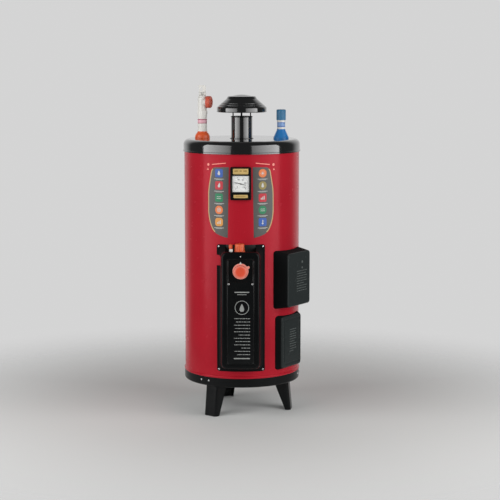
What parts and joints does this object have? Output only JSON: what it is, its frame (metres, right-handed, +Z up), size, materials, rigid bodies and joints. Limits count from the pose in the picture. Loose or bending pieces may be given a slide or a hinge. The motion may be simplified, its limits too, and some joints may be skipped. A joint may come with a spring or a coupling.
{
  "type": "gas storage water heater",
  "caption": "Floor-standing gas storage water heater: red jacket on sheet legs, black lid with draft hood, capped water pipes, relief valve, gauge and front gas control cover.",
  "frame": {"origin": "on the floor, under the axis of the tank", "axes": "+Z up along the tank; the front with the gauge and the gas control faces -Y; +X is to the right as seen from the front, where the cold pipe stands"},
  "size_m": [0.4963, 0.5342, 1.281],
  "materials": {
    "red_enamel": "gloss",
    "black_enamel": "gloss",
    "black_gloss": "gloss",
    "black_plastic": "satin",
    "bright_steel": "polished",
    "zinc_steel": "satin",
    "tank_steel": "satin",
    "mineral_wool": "matte",
    "burner_iron": "matte",
    "bright_aluminium": "satin",
    "brass": "satin",
    "anode_metal": "matte",
    "white_plastic": "satin",
    "white_metal": "satin",
    "orange_plastic": "satin",
    "blue_plastic": "satin",
    "clear_window": "polished",
    "dial_white": "matte",
    "needle_black": "matte",
    "cast_alloy": "satin",
    "gasket_rubber": "matte"
  },
  "bodies": {
    "heater": {"leg_front_left": "black_enamel", "leg_right": "black_enamel", "leg_rear": "black_enamel", "leg_screws": "bright_steel", "base_ring": "black_enamel", "jacket": "red_enamel", "top_cover": "black_gloss", "insulation": "mineral_wool", "tank_shell": "tank_steel", "tank_top_head": "tank_steel", "tank_bottom_head": "tank_steel", "tank_sockets": "zinc_steel", "flue_tube": "zinc_steel", "flue_baffle": "zinc_steel", "chamber_floor": "zinc_steel", "main_burner": "burner_iron", "burner_gas_tube": "bright_aluminium", "pilot_burner": "brass", "pilot_tube": "bright_aluminium", "thermocouple": "brass", "burner_door": "black_enamel", "hot_pipe": "zinc_steel", "cold_pipe": "zinc_steel", "dip_tube": "white_plastic", "anode_rod": "anode_metal", "hot_bell": "orange_plastic", "cold_bell": "blue_plastic", "hot_sleeve": "white_plastic", "cold_sleeve": "white_plastic", "relief_body": "white_metal", "flue_collar": "black_enamel", "hood_struts": "black_enamel", "draft_hood": "black_enamel", "gauge_bezel": "black_gloss", "gauge_glass": "clear_window", "gauge_dial": "dial_white", "gauge_stem": "brass", "front_cover": "black_gloss", "front_panel": "black_gloss", "cover_screws": "bright_steel", "panel_screws": "bright_steel", "gas_control": "cast_alloy", "thermostat_probe": "brass", "igniter_body": "black_plastic", "side_cover_upper": "black_gloss", "side_cover_lower": "black_gloss", "hand_hole_plate": "zinc_steel", "hand_hole_gasket": "gasket_rubber", "hand_hole_bolts": "bright_steel", "drain_plug": "brass"},
    "temperature_dial": {"temp_dial": "orange_plastic"},
    "gas_cock": {"gas_cock_knob": "orange_plastic"},
    "pilot_button": {"pilot_button": "orange_plastic"},
    "igniter_button": {"igniter_button": "white_plastic"},
    "relief_stem": {"relief_stem": "bright_steel", "relief_lever_pin": "bright_steel"},
    "relief_lever": {"relief_lever": "white_plastic"},
    "gauge_needle": {"gauge_needle": "needle_black"},
    "cold_cap": {"cold_cap": "blue_plastic"},
    "outlet_cap": {"outlet_cap": "orange_plastic"}
  },
  "joints": [
    {"name": "temperature_turn", "type": "hinge", "parent": "heater", "child": "temperature_dial", "pos_m": [0, -0.2793, 0.589], "axis": [0, 1, 0], "range_deg": [0, 270]},
    {"name": "gas_cock_turn", "type": "hinge", "parent": "heater", "child": "gas_cock", "pos_m": [-0.004, -0.25, 0.6578], "axis": [0, 0, 1], "range_deg": [0, 180]},
    {"name": "pilot_press", "type": "slide", "parent": "heater", "child": "pilot_button", "axis": [0, 0, -1], "range_m": [0, 0.006], "stiffness_N_per_m": 800},
    {"name": "igniter_press", "type": "slide", "parent": "heater", "child": "igniter_button", "axis": [0, 0, -1], "range_m": [0, 0.006], "stiffness_N_per_m": 1200},
    {"name": "relief_stem_lift", "type": "slide", "parent": "heater", "child": "relief_stem", "axis": [0, 0, 1], "range_m": [0, 0.00251]},
    {"name": "relief_lever_tilt", "type": "hinge", "parent": "relief_stem", "child": "relief_lever", "pos_m": [-0.153, 0, 1.248], "axis": [1, 0, 0], "range_deg": [0, 75], "stiffness_Nm_per_rad": 0.25},
    {"name": "gauge_needle_swing", "type": "hinge", "parent": "heater", "child": "gauge_needle", "pos_m": [0, -0.2321, 0.9155], "axis": [0, 1, 0], "range_deg": [-60, 210], "stiffness_Nm_per_rad": 0.0005},
    {"name": "cold_cap_pull", "type": "slide", "parent": "heater", "child": "cold_cap", "axis": [0, 0, 1], "range_m": [0, 0.06]},
    {"name": "outlet_cap_pull", "type": "slide", "parent": "heater", "child": "outlet_cap", "axis": [0.9511, -0.309, 0], "range_m": [0, 0.015]}
  ],
  "couplings": [
    {"joint": "relief_lever_tilt", "follows": "relief_stem_lift", "rad_per_m": 521.22}
  ]
}
